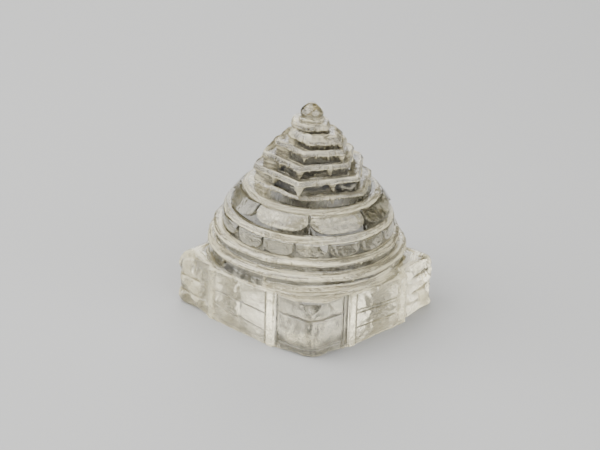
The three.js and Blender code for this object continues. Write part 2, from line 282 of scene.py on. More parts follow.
@dataclass(kw_only=True)
class Tier:
    """A tier of the carving: what all kinds of tier have in common."""

    name: str
    foot: float
    tall: float
    spokes: Spokes
    standing: bool = False  # whether it stands on the floor and not on another tier
    ledge_rows: int = 4
    ripple: float = 0.05  # how uneven the wheel left the ledge
    smoke: float = 0.6  # how much painted shade darkens the clear crystal
    aside: float = 0.0  # how far the hand let it wander from the axis
    teeth: tuple[Triple, ...] = ()  # the direction, width and length of each pointed tooth under its rim
    seed: int = 0  # which unevenness it has

    def rings(self) -> Iterator[Ring]:
        """The lines from the foot of the tier's wall to its brow, from below to above."""
        raise NotImplementedError

    def footprint(self) -> Ring:
        """The line on which the tier stands."""
        return next(self.rings())

    def build(self, above: "Tier | None", hand: Hand) -> bpy.types.Object:
        """Make the tier as one closed mesh.

        Args:
            above: The next tier, whose footprint ends this one's ledge.
            hand: How the carver's hand wandered.

        Returns:
            The new object.
        """
        rings = list(self.rings())
        asides = [self.aside] * len(rings)
        if above is not None:
            rings += self.ledge(rings[-1], above.footprint())
            steps = np.arange(1, self.ledge_rows + 1) / self.ledge_rows
            asides += blend(self.aside, above.aside, steps).tolist()
        rows = []
        for ring, aside in zip(rings, asides):
            row = self.spokes.points(ring.radius, ring.height)
            row[:, :2] += aside * hand.heading()
            rows.append(row)
        middles = [[0.0, 0.0, ring.height.mean()] for ring in (rings[0], rings[-1])]
        places = np.concatenate(rows + [np.array(middles)])
        frost = np.concatenate([ring.frost for ring in rings] + [np.zeros(2)])
        frost = hand.cloud(places, frost)
        # the painted shade at every point: its tier's and its ring's
        smoke = np.concatenate([self.dark() + ring.shade for ring in rings] + [np.zeros(2)])
        faces, kinds = self.skin(len(rings), above is None)
        mesh = bpy.data.meshes.new(self.name + "_carved")
        mesh.from_pydata((hand.carve(places, frost) * MM).tolist(), [], faces)
        mesh.polygons.foreach_set("material_index", kinds)
        for name, values in ((FROST, frost), (PAINTED_SHADE, smoke)):
            layer = mesh.attributes.new(name, "FLOAT", "POINT")
            layer.data.foreach_set("value", values.astype(np.float32))
        mesh.shade_smooth()
        mesh.set_sharp_from_angle(angle=math.radians(SHARP_EDGE))
        mesh.update()
        return stand(self.name + "_carved", mesh)

    def skin(self, rows: int, highest: bool) -> tuple[list[list[int]], list[int]]:
        """The faces between the rings and over both ends.

        Args:
            rows: How many rings there are; the middles of the two ends follow them.
            highest: Whether nothing stands on the tier.

        Returns:
            The faces, and the kind of each.
        """
        count = self.spokes.count
        rings = np.arange(rows * count).reshape(rows, count)
        ahead = np.roll(rings, -1, axis=1)
        sides = np.stack([rings[:-1], ahead[:-1], ahead[1:], rings[1:]], 2).reshape(-1, 4).tolist()
        under = np.stack([np.full(count, rows * count), ahead[0], rings[0]], 1).tolist()
        over = np.stack([np.full(count, rows * count + 1), rings[-1], ahead[-1]], 1).tolist()
        kinds: list[int] = []
        for faces, seen in ((sides, True), (under, self.standing), (over, highest)):
            kinds += [(Surface.CARVED if seen else Surface.JOINED).value] * len(faces)
        return sides + under + over, kinds

    def dark(self) -> Line:
        """How much painted shade darkens the clear crystal along each spoke."""
        return self.spokes.even(self.smoke)

    def ledge(self, brow: Ring, above: Ring) -> list[Ring]:
        """The ledge from a brow to the foot of the next tier, with the marks of the wheel.

        Args:
            brow: Where it starts.
            above: The footprint of the next tier.

        Returns:
            The rings after the brow.
        """
        dice = np.random.default_rng(len(self.name))
        made = []
        for row in range(1, self.ledge_rows):
            share = row / self.ledge_rows
            ring = brow.towards(above, share)
            mark = dice.normal() + 0.5 * self.spokes.waver(row, 1, 9)
            height = ring.height + self.ripple * mark * math.sin(math.pi * share)
            made.append(Ring(ring.radius, height, np.clip(ring.frost + 0.25 * mark, 0.0, 1.0)))
        return made + [above]

    def level(self, radius: Any, height: Any, frost: Any, shade: Any = 0.0) -> Ring:
        """A ring at a height above the tier's foot."""
        even = self.spokes.even
        return Ring(even(radius), even(self.foot + height), even(frost), shade)

    def proud(self, radius: float, drop: float) -> Line:
        """How far the teeth stand out at some depth under the rim.

        Args:
            radius: The rim's rough radius, which turns angles into widths.
            drop: The depth under the rim.

        Returns:
            0 between the teeth, up to 1 on their ridges.
        """
        total = self.spokes.even(0.0)
        for direction, width, length in self.teeth:
            half = width / 2.0 * (1.0 - drop / length)
            if half > 0.0:
                away = np.abs(self.spokes.fold(1, direction)) * radius
                ridge = 1.0 - 0.45 * away / half - 0.55 * ease(away, half * 0.8, half * 1.15)
                total = np.maximum(total, ridge)
        return np.clip(total, 0.0, 1.0)


@dataclass(frozen=True)
class Gate:
    """One gate as it was cut, from its start to its end anticlockwise round the crystal.

    Places across the gate are measured from its middle. A pair is what holds at both ends.
    """

    face: Pair = (20.3, 20.4)
    brim: Pair = (11.6, 11.5)
    start_post: Pair = (-8.1, -6.8)
    end_post: Pair = (6.8, 8.1)
    lines: Profile = ((7.2, 7.1), (3.7, 3.5))
    flutes: tuple[float, ...] = ()
    painted_shade_patch: Triple = (0.0, 0.0, 0.0)  # painted shade: from where to where across the gate its clear crystal is painted darker, and by how much


@dataclass(frozen=True)
class CornerBlock:
    """One corner of the enclosure: three lobes one over the other under a round shoulder."""

    cuts: tuple[float, ...] = (3.6, 7.1)
    depth: float = 0.55
    shoulder: Profile = ((0.0, 23.8), (1.0, 24.8), (2.2, 25.5), (3.6, 26.0))
    reach: float = 0.4
    frost: float = 0.3
    broken: float = 0.12
    far_side: int = 0  # the gate on whose side it leans in
    lean: Profile = ((0.0, 30.0), (11.8, 30.0))  # how far it reaches there, by the depth under the top


@dataclass(frozen=True)
class Enclosure:
    """The square enclosure as a whole: the wall that its three lines share."""

    spokes: Spokes
    gates: tuple[Gate, ...] = (
        Gate(
            face=(20.0, 20.8), brim=(11.4, 10.4), start_post=(-8.3, -6.9), end_post=(4.7, 6.6),
            lines=((7.9, 7.24), (7.2, 6.5), (3.85, 3.4)), flutes=(-9.3, -10.4), painted_shade_patch=(-7.4, -2.6, 1.3),
        ),
        Gate(),
        Gate(),
        Gate(
            face=(20.1, 20.2), brim=(11.0, 11.8), start_post=(-8.3, -7.0), end_post=(6.9, 8.5),
            lines=((7.24, 6.9), (4.2, 2.9)), flutes=(9.6,), painted_shade_patch=(-0.6, 7.6, 1.8),
        ),
    )
    corners: tuple[CornerBlock, ...] = (
        CornerBlock(
            cuts=(5.0, 8.4), depth=0.6, reach=0.25, frost=0.62, broken=0.26, far_side=1,
            shoulder=((0.0, 23.0), (0.4, 23.8), (1.1, 24.5), (2.3, 25.0), (4.0, 25.4)),
            lean=(
                (0.0, 15.5), (0.6, 16.7), (1.2, 17.5), (2.0, 18.2), (3.2, 18.8), (5.0, 19.4), (6.0, 30.0),
            ),
        ),
        CornerBlock(depth=0.75),
        CornerBlock(
            cuts=(3.1, 6.7), depth=0.85, reach=0.95, frost=0.62, broken=0.26, far_side=2,
            shoulder=((0.0, 22.4), (0.4, 23.3), (1.0, 24.1), (2.1, 24.8), (4.0, 25.4)),
            lean=(
                (0.0, 16.5), (0.4, 17.6), (1.0, 18.4), (2.0, 19.0), (3.2, 19.4), (5.0, 19.7), (6.0, 30.0),
            ),
        ),
        CornerBlock(
            cuts=(1.8, 8.1), depth=0.22, reach=0.0, frost=0.2, broken=0.17,
            shoulder=((0.0, 24.3), (0.5, 24.9), (1.5, 25.2), (3.0, 25.6)),
        ),
    )
    top: float = 11.8
    half: float = 18.75
    swell: float = 0.85
    swell_ends: Pair = (10.0, 18.0)  # from where to where beside a gate's middle this changes
    lobe_ends: Pair = (8.6, 13.5)
    reach_ends: Pair = (11.0, 17.5)
    corner_round: float = 2.7
    lobe_round: float = 1.3
    rough: Lumps = Lumps(31, 9.0, 2.4, waves=9, broken=True)
    rough_frost: float = 2.6
    foot_frost: float = 0.85
    foot_ends: Pair = (0.15, 0.5)
    foot_round: float = 1.6
    foot_inset: float = 0.9
    post_fade: float = 0.3
    panel_depth: float = 0.08
    line_depth: float = 0.26
    line_half: float = 0.17
    scratch_depth: float = 0.25
    scratch_half: float = 0.22
    # painted shade: how dark the cut lines, the grooves beside the posts and the flutes are painted
    shade: float = 5.0
    groove_depth: float = 0.32
    groove_half: float = 0.26
    groove_shade: float = 0.2
    flute_depth: float = 0.25
    flute_half: float = 0.4
    flute_shade: float = 1.0
    haze: float = 0.37
    line_frost: float = 0.3
    post_frost: float = 0.35
    core: float = 20.0  # nothing leans in further than the girdle that stands on the top

    def ring(self, high: float) -> Ring:
        """The wall's line at one height.

        Args:
            high: The height, which is squeezed down under the gates' lower brims.

        Returns:
            The ring.
        """
        across = self.across()
        side = np.round(self.spokes.angle / QUARTER).astype(int) % 4
        radius, frost, shade = self.corner_wall(high)
        height = self.spokes.even(high)
        for place, gate in enumerate(self.gates):
            here = np.where(side == place, 1.0, 0.0)
            wall, matt, dark, within = self.gate_wall(gate, high)
            within = within * here
            brim = np.interp(across, (gate.start_post[0], gate.end_post[1]), gate.brim)
            radius = blend(radius, wall, within)
            frost = blend(frost, matt, within)
            shade = blend(shade, dark, within)
            height = height * blend(1.0, brim / self.top, within)
            for flute in gate.flutes:
                cut = here * peak(across - flute, self.flute_half)
                radius = radius - self.flute_depth * cut
                # painted shade in the flutes
                shade = shade + self.flute_shade * cut
        frost = np.maximum(frost, self.foot_frost * (1.0 - ease(high, *self.foot_ends)))
        return Ring(radius, height, frost, shade)

    def across(self) -> Line:
        """How far to the side of a gate's middle each spoke meets the wall."""
        return np.tan(self.spokes.fold(4)) * self.half

    def corner_wall(self, high: float) -> tuple[Line, ...]:
        """The rounded square with its lobes.

        Args:
            high: The height.

        Returns:
            The radius, the frost and the painted shade of the cuts.
        """
        away = np.abs(self.spokes.fold(4))
        wide = np.abs(self.across())
        middle = self.half - self.corner_round
        reach = middle * (np.cos(away) + np.sin(away))
        arc = reach + np.sqrt(np.maximum(reach**2 - 2.0 * middle**2 + self.corner_round**2, 0.0))
        flat = self.half / np.cos(away)
        square = np.where(flat * np.sin(away) > middle, arc, flat)
        square = square + self.swell * (1.0 - ease(wide, *self.swell_ends)) / np.cos(away)
        inside = ease(wide, *self.lobe_ends)
        quarter = (self.spokes.angle // QUARTER).astype(int) % 4
        radius, frost, shade = square, self.spokes.even(0.0), self.spokes.even(0.0)
        for place, corner in enumerate(self.corners):
            here = quarter == place
            gaps = [self.bevel(abs(high - cut), self.lobe_round) for cut in corner.cuts]
            inset = corner.depth * max(gaps) + self.foot_inset * self.bevel(high, self.foot_round)
            lobed = np.minimum(square, self.under_top(corner.shoulder, high)) - inset * inside
            lobed = lobed + corner.reach * ease(wide, *self.reach_ends)
            towards = np.cos(self.spokes.angle - corner.far_side * QUARTER)
            leaning = self.under_top(corner.lean, high) / np.maximum(towards, 0.05)
            lobed = np.minimum(lobed, np.maximum(leaning, self.core))
            facets = self.rough.at(self.spokes.points(lobed, high))
            line = max(peak(high - cut, self.scratch_half) for cut in corner.cuts)
            cut_back = self.scratch_depth * line * inside
            radius = np.where(here, lobed + corner.broken * inside * facets - cut_back, radius)
            matt = corner.frost + self.rough_frost * corner.broken * facets
            frost = np.where(here, matt * inside, frost)
            # painted shade along the scratched lines between the lobes
            shade = np.where(here, self.shade * line * inside, shade)
        return radius, frost, shade

    def under_top(self, profile: Profile, high: float) -> float:
        """What a profile by the depth under the top says at one height."""
        return float(np.interp(self.top - high, *zip(*profile)))

    @staticmethod
    def bevel(away: float, size: float) -> float:
        """How deep a round edge has fallen at some distance from its end: 1 at the end, 0 past it."""
        return 1.0 - math.sqrt(1.0 - max(0.0, 1.0 - away / size) ** 2)

    def gate_wall(self, gate: Gate, high: float) -> tuple[Line, ...]:
        """A gate's panel between its two posts, with the fine grooves across it.

        Args:
            gate: The gate.
            high: The height.

        Returns:
            The radius, the frost, the painted shade, and where the gate stands.
        """
        start, end = gate.start_post, gate.end_post
        fade = self.post_fade
        across = self.across()
        within = between(across, start[0] - fade, end[1] + fade, fade)
        panel = between(across, start[1], end[0], fade)
        face = np.interp(across, (start[0], end[1]), gate.face)
        cut = self.spokes.even(0.0)
        for ends in gate.lines:
            line = np.interp(across, (start[1], end[0]), ends)
            cut = np.maximum(cut, peak(high - line, self.line_half))
        cut = cut * panel
        beside = np.minimum(np.abs(across - start[1] - fade / 2.0), np.abs(across - end[0] + fade / 2.0))
        groove = peak(beside, self.groove_half)
        inset = self.line_depth * cut + self.groove_depth * groove + self.panel_depth * panel
        frost = self.haze + self.line_frost * cut + self.post_frost * (1.0 - panel)
        # painted shade in the fine grooves and beside the posts
        shade = self.shade * np.maximum(cut, self.groove_shade * groove)
        # a patch of painted shade across the panel
        shade += gate.painted_shade_patch[2] * between(across, *gate.painted_shade_patch[:2], 1.0)
        return face / np.cos(self.spokes.fold(4)) - inset, frost, shade, within


@dataclass(kw_only=True)
class EnclosureLine(Tier):
    """One of the three lines of the square enclosure, with its part of the four gates."""

    enclosure: Enclosure
    ledge_rows: int = 1
    smoke: float = -1.0  # below 0 it is painted light: the matt places are painted paler
    # painted shade at the front corner
    front_painted_shade: float = 3.0
    front: Triple = (-45.0, 15.0, 8.0)  # where the front corner is, half its width, and its fade
    rows: int = 28
    crest: bool = False
    crest_round: float = 0.12
    crest_chips: float = 0.12

    def dark(self) -> Line:
        """Painted shade on the clear crystal, darkest at the front corner."""
        return blend(self.smoke, self.front_painted_shade, self.spokes.near(*self.front))

    def rings(self) -> Iterator[Ring]:
        """The wall between the line's foot and its top, and the brim if this is the upper line.

        Returns:
            The lines round it, from below to above.
        """
        for row in range(self.rows):
            yield self.enclosure.ring(self.foot + self.tall * row / self.rows)
        if self.crest:
            brim = self.enclosure.ring(self.foot + self.tall)
            yield Ring(brim.radius, brim.height - self.crest_round, np.maximum(brim.frost, 0.6))
            worn = brim.radius - self.crest_round - self.crest_chips * self.spokes.chips(17, 0.9)
            yield Ring(worn, brim.height, np.maximum(brim.frost, 0.95))


@dataclass(kw_only=True)
class Girdle(Tier):
    """A plain round girdle: a wall that is cut back under a sloping rim."""

    rim: float = 20.4
    foot_radius: float = 19.6
    waist: float = 19.35
    brow: float
    wall: float
    apron: float  # how tall the foot is that slopes in to the wall
    apron_at: Pair = (-30.0, 42.0)  # the side where the apron is matt, and half its width
    # painted shade on its clear wall
    smoke: float = 1.0
    wander: float = 0.07
    wall_rows: tuple[float, ...] = (0.1, 0.25, 0.4, 0.55, 0.68, 0.78, 0.86, 0.93, 1.0)
    lip: Profile = ((0.06, 0.0), (0.0, 0.1), (0.0, 0.24), (0.1, 0.36))  # how far in and up its rows lie
    lip_start: float = 0.93  # the share of the wall where the lip starts
    flare: Pair = (0.7, 1.0)  # the shares of the wall between which it turns out to the lip
    bright: Pair = (0.86, 1.0)  # the shares between which it turns matt
    chip: Pair = (0.22, 0.08)  # how far in and down a chip of 1 goes
    slope: Profile = ((0.15, 0.85), (0.3, 0.7), (0.45, 0.8), (0.6, 0.65), (0.8, 0.85), (1.0, 1.0))

    def rings(self) -> Iterator[Ring]:
        """The matt apron at the foot, the clear wall, and the rim with its chips and spurs.

        Returns:
            The lines round it, from below to above.
        """
        waver = self.wander * self.spokes.waver(self.seed, 2, 9)
        chips = self.spokes.chips(self.seed + 1)
        matt = 0.1 + 0.9 * self.spokes.near(*self.apron_at)
        for share, part in ((0.0, 1.0), (0.25, 1.0), (0.55, 1.0), (0.85, 1.0), (1.0, 0.5)):
            radius = blend(self.foot_radius, self.waist + 0.12, share)
            yield self.level(radius + waver, self.apron * share, matt * part)
        for share in self.wall_rows:
            high = blend(self.apron, self.wall * self.lip_start, share)
            out = blend(share, ease(share, *self.flare), 0.88)
            radius = self.waist + (self.rim - self.waist) * out
            proud = self.proud(self.rim, self.wall - high)
            radius = blend(radius, self.rim - 0.1, proud)
            frost = np.maximum(0.55 * ease(share, *self.bright), proud)
            yield self.level(radius + waver, high, frost)
        for inset, over in self.lip:
            radius = self.rim - inset + waver - self.chip[0] * chips
            yield self.level(radius, self.wall + over - self.chip[1] * chips, 1.0)
        rise = self.tall - self.wall - over
        for share, frost in self.slope:
            radius = blend(self.rim - inset, self.brow, share)
            high = self.wall + over + rise * (1.0 - (1.0 - share) ** 1.7)
            yield self.level(radius + waver, high, frost)


@dataclass(kw_only=True)
class Lotus(Tier):
    """A ring of petals whose round tips point down, standing proud of a wall under a rim."""

    petals: int = 8
    turn: float = -26.5
    belly: float = 15.4
    foot_radius: float = 16.5
    rim: float = 13.9
    brow: float = 12.9
    wall: float = 3.5
    relief: float = 0.75
    tip: float = 0.13
    side: float = 0.5
    power: float = 4.5
    bright_tips: float = 0.9
    milk: float = 0.16
    milky: Pair = (-48.0, 0.0)  # the side where the petals are milky, and half its width
    # painted shade in the gaps and seams between the petals
    gap_shade: float = 2.0
    rows: int = 27
    chip: Pair = (0.18, 0.06)
    lip: Profile = ((0.12, 0.04), (0.14, 0.14), (0.04, 0.26))  # how far out and up its rows lie
    slope: Profile = ((0.25, 0.8), (0.5, 0.7), (0.75, 0.8), (0.92, 1.0), (1.0, 0.3))

    def rings(self) -> Iterator[Ring]:
        """The wall with its petals, and the rim above them.

        Returns:
            The lines round it, from below to above.
        """
        half = TURN / self.petals / 2.0
        across = np.abs(self.spokes.fold(self.petals, self.turn)) / half
        number = np.round((self.spokes.angle - math.radians(self.turn)) / (2.0 * half)).astype(int)
        own = np.random.default_rng(self.seed).normal(size=self.petals)[number % self.petals]
        edge = self.tip * (1.0 + 0.5 * own) + self.side * across**self.power
        seam = ease(across, 1.0 - 0.4 / (half * self.belly), 1.0)
        milk = self.milk + (0.55 - self.milk) * self.spokes.near(*self.milky)
        chips = self.spokes.chips(self.seed + 40)
        for share in np.linspace(0.0, 1.0, self.rows):
            inside = ease(share, edge - 0.03, edge + 0.05)
            straight = blend(self.foot_radius, self.rim, share)
            bow = (self.belly - (self.foot_radius + self.rim) / 2.0) * math.sin(math.pi * share)
            swell = 0.12 * own * math.sin(math.pi * share)
            stand_out = self.relief * (inside * (1.0 - 0.75 * seam) - 0.55) * (1.0 - ease(share, 0.93, 1.0))
            lip = peak(share - edge - 0.02, 0.05)
            frost = np.maximum(self.bright_tips * lip * (1.0 - seam), milk * inside * (1.0 - seam))
            # painted shade where the wall shows between the petals and along their seams
            gap = np.maximum((1.0 - inside) * (1.0 - ease(share, edge - 0.1, edge - 0.02)), 0.8 * seam)
            radius = straight + bow + swell + stand_out
            yield self.level(radius, share * self.wall, frost, self.gap_shade * gap)
        for out, up in self.lip:
            radius = self.rim + out - self.chip[0] * chips
            yield self.level(radius, self.wall + up - self.chip[1] * chips, 1.0)
        rise = self.tall - self.wall - up
        for share, frost in self.slope:
            radius = blend(self.rim + out, self.brow, share)
            yield self.level(radius, self.wall + up + rise * share**0.8, frost)


@dataclass(kw_only=True)
class TriangleTier(Tier):
    """A six-cornered tier: a sloping matt rim over a clear wall that is cut back between teeth."""

    corner: float
    slope: float
    hollow: float
    wall: float
    shares: tuple[float, ...] = (1.0, 0.91, 0.93, 0.77, 0.93, 1.0)
    band: float = 1.0
    lean: float = 0.35
    turn: float = 4.0
    wear: float = 0.4
    drum: float = 0.0  # the radius of its round foot, if it has one
    rows: int = 15
    chip: float = 0.14
    jut: float = 0.25
    fringe: float = 0.28
    worn_at: Pair = (-128.0, 22.0)  # the side whose walls are shallow, and half its width
    worn_frost: float = 0.9
    slope_frost: float = 0.0  # how much more matt than usual the slopes are
    # painted shade on its clear walls
    smoke: float = 1.0
    band_matt: Profile = (
        (0.0, 1.0), (0.07, 1.0), (0.2, 0.62), (0.45, 0.5), (0.7, 0.55), (0.9, 0.8), (1.0, 1.0),
    )
    slope_matt: Profile = ((0.12, 0.9), (0.35, 0.6), (0.65, 0.5), (1.0, 0.6))

    def hexagon(self, corner: float) -> Line:
        """The distance to the worn six-cornered outline along each spoke.

        Args:
            corner: The outline's size, from the axis to its furthest corner.

        Returns:
            The distance along each spoke.
        """
        sector = TURN / 6.0
        turned = (self.spokes.angle - math.radians(self.turn)) % TURN
        side = (turned // sector).astype(int) % 6
        shares = np.array(self.shares) * corner
        start, end = shares[side], shares[(side + 1) % 6]
        within = turned - side * sector
        sharp = start * end * math.sin(sector) / (start * np.sin(within) + end * np.sin(sector - within))
        away = np.minimum(within, sector - within)
        round_off = peak(away * corner, 2.2 * self.wear)
        return sharp - 0.42 * self.wear * round_off**2

    def rings(self) -> Iterator[Ring]:
        """The cut-back wall with its teeth, and the rim with its ragged lower edge.

        Returns:
            The lines round it, from below to above.
        """
        outer = self.hexagon(self.corner) + 0.05 * self.spokes.waver(self.seed, 3, 14)
        size = self.corner * 0.93
        chips = self.spokes.chips(self.seed + 60, 0.8)
        ragged = self.fringe * self.spokes.chips(self.seed + 80, 0.3)
        worn = self.spokes.near(*self.worn_at, 24.0)
        hollow = self.hollow * (1.0 - 0.55 * worn)
        for share in np.linspace(0.0, 1.0, self.rows):
            high = share * self.wall
            proud = self.proud(size, self.wall - high)
            under = ease(share, 0.88, 1.0)
            hang = np.clip((ragged - (self.wall - high)) / 0.12, 0.0, 1.0)
            stand_out = np.maximum(np.maximum(proud, under * 0.9), hang)
            foot = 0.0 if self.drum else 0.3 * (1.0 - ease(share, 0.0, 0.08))
            bright = np.maximum(0.95 * np.minimum(proud * 3.0, 1.0), hang)
            frost = np.maximum(np.maximum(bright, max(under, foot)), self.worn_frost * worn)
            radius = outer - hollow * (1.0 - stand_out)
            if self.drum:
                radius = blend(self.drum, radius, np.maximum(share**1.3, proud))
            yield self.level(radius + self.jut * proud, high, frost)
        ridge = self.jut * self.proud(size, 0.0)
        for share, frost in self.band_matt:
            radius = outer - self.lean * share**1.6 + (ridge - self.chip * chips) * (1.0 - share)
            matt = np.maximum(blend(frost, 1.0, self.slope_frost), ridge * 3.0)
            yield self.level(radius, self.wall + 0.04 + (self.band - 0.04) * share, matt)
        brow = self.hexagon(self.corner - self.slope)
        for share, frost in self.slope_matt:
            radius = blend(outer - self.lean, brow, share)
            matt = blend(frost, 1.0, self.slope_frost)
            yield self.level(radius, blend(self.wall + self.band, self.tall, share**0.8), matt)


@dataclass(kw_only=True)
class Drop(Tier):
    """The ball at the very top, on its short neck."""

    ball: float = 2.35
    half_height: float = 1.974
    neck: float = 2.5
    neck_tall: float = 0.7
    neck_rows: tuple[Triple, ...] = ((1.0, 0.0, 0.3), (1.03, 0.3, 0.5), (1.0, 0.75, 1.0))
    sink: float = 1.25
    point: float = 0.2
    pinch: float = 0.16
    # painted shade on the clear ball
    smoke: float = 0.1
    rows: int = 36
    cut: float = 0.04
    facets: Lumps = Lumps(41, 3.2, 1.6, waves=6, broken=True)
    # painted shade: a dark band painted round the ball, just below its middle
    band: float = 1.6
    band_at: float = -0.05
    band_half: float = 0.22

    def rings(self) -> Iterator[Ring]:
        """The matt neck and the clear ball.

        Returns:
            The lines round it, from below to above.
        """
        for wide, up, frost in self.neck_rows:
            yield self.level(self.neck * wide, self.neck_tall * up, frost)
        middle = self.neck_tall - self.sink + self.half_height
        start = math.asin((self.neck_tall - middle) / self.half_height)
        for row in range(self.rows + 1):
            rise = blend(start, math.pi / 2.0, row / self.rows)
            lift = math.sin(rise)
            radius = max(self.ball * math.cos(rise) * (1.0 - self.pinch * ease(lift, 0.1, 0.8)), 0.01)
            high = middle + self.half_height * lift + self.point * ease(lift, 0.75, 1.0)
            cut = self.cut * math.cos(rise) * self.facets.at(self.spokes.points(radius, high))
            frost = 0.55 * (1.0 - ease(row, 0.0, 2.5))
            # painted shade: the dark band round the ball
            shade = self.band * peak(lift - self.band_at, self.band_half)
            yield self.level(radius + cut, high, frost, shade)


@dataclass(frozen=True)
class Socket:
    """A node's output, for shader maths written as Python expressions."""

    tree: bpy.types.NodeTree
    output: bpy.types.NodeSocket

    def _math(self, operation: str, *values: "Socket | float") -> "Socket":
        """Add a Math node.

        Args:
            operation: Its operation.
            values: Its inputs in order.

        Returns:
            Its result.
        """
        node = self.tree.nodes.new("ShaderNodeMath")
        node.operation = operation
        for slot, value in zip(node.inputs, values):
            if isinstance(value, Socket):
                self.tree.links.new(value.output, slot)
            else:
                slot.default_value = value
        return Socket(self.tree, node.outputs[0])

    def __add__(self, other: "Socket | float") -> "Socket":
        """The sum."""
        return self._math("ADD", self, other)

    __radd__ = __add__

    def __sub__(self, other: "Socket | float") -> "Socket":
        """The difference."""
        return self._math("SUBTRACT", self, other)

    def __mul__(self, other: "Socket | float") -> "Socket":
        """The product."""
        return self._math("MULTIPLY", self, other)

    def __truediv__(self, other: "Socket | float") -> "Socket":
        """The quotient."""
        return self._math("DIVIDE", self, other)

    def root(self) -> "Socket":
        """The square root."""
        return self._math("SQRT", self)

    def above(self, limit: float) -> "Socket":
        """How far it is above a limit, and 0 below it."""
        return self._math("MAXIMUM", self - limit, 0.0)


class Finish:
    """A procedural material and its node tree."""

    def __init__(self, name: str) -> None:
        """Start an empty material.

        Args:
            name: The material's name.
        """
        self.material = bpy.data.materials.new(name)
        self.material.use_nodes = True
        self.tree = self.material.node_tree
        self.tree.nodes.clear()

    def node(self, kind: str, settings: dict[str, Any] | None = None, **values: Any) -> bpy.types.Node:
        """Add any node.

        Args:
            kind: The node's type, without its ShaderNode prefix.
            settings: What is set on the node itself.
            values: A value or a link for each input, by its name with _ for a space.

        Returns:
            The new node.
        """
        made = self.tree.nodes.new("ShaderNode" + kind)
        for key, value in (settings or {}).items():
            setattr(made, key, value)
        for key, value in values.items():
            slot = made.inputs[key.replace("_", " ")]
            if isinstance(value, Socket):
                self.tree.links.new(value.output, slot)
            else:
                slot.default_value = value
        return made

    def out(self, made: bpy.types.Node, name: str | int = 0) -> Socket:
        """One output of a node, for shader maths."""
        return Socket(self.tree, made.outputs[name])

    def value(self, kind: str, settings: dict[str, Any] | None = None, **values: Any) -> Socket:
        """The first output of a new node."""
        return self.out(self.node(kind, settings, **values))

    def attribute(self, name: str) -> Socket:
        """A number that the mesh carries at every point."""
        return self.out(self.node("Attribute", {"attribute_name": name}), "Fac")

    def noise(self, place: Socket, scale: float, detail: float, roughness: float) -> Socket:
        """A noise over the places."""
        return self.value("TexNoise", Vector=place, Scale=scale, Detail=detail, Roughness=roughness)

    def fade(self, value: Socket, start: float, end: float, left: float) -> Socket:
        """1 up to a start, falling to what is left at the end."""
        return self.value("MapRange", Value=value, From_Min=start, From_Max=end, To_Min=1.0, To_Max=left)

    def ramp(self, share: Socket, ends: Pair, colours: tuple[Colour, Colour]) -> Socket:
        """A colour that changes from the first to the second between two ends.

        Args:
            share: The value that it follows.
            ends: The values where the change starts and ends.
            colours: The colours before and after it.

        Returns:
            The colour.
        """
        made = self.node("ValToRGB", Fac=share)
        for stop, place, colour in zip(made.color_ramp.elements, ends, colours):
            stop.position, stop.color = place, colour
        return self.out(made)

    def mix(self, first: Socket, second: Socket, share: Socket) -> Socket:
        """A colour that lies a share of the way from the first to the second.

        Args:
            first: The colour at a share of 0.
            second: The colour at a share of 1.
            share: How far it lies towards the second.

        Returns:
            The colour.
        """
        made = self.node("Mix", {"data_type": "RGBA"}, Factor=share)
        self.tree.links.new(first.output, made.inputs[6])
        self.tree.links.new(second.output, made.inputs[7])
        return Socket(self.tree, made.outputs[2])

    def surface(self, shader: bpy.types.Node) -> bpy.types.Material:
        """Send a shader to the output and give the material.

        Args:
            shader: The node that gives the surface its looks.

        Returns:
            The material.
        """
        end = self.tree.nodes.new("ShaderNodeOutputMaterial")
        self.tree.links.new(shader.outputs[0], end.inputs["Surface"])
        return self.material


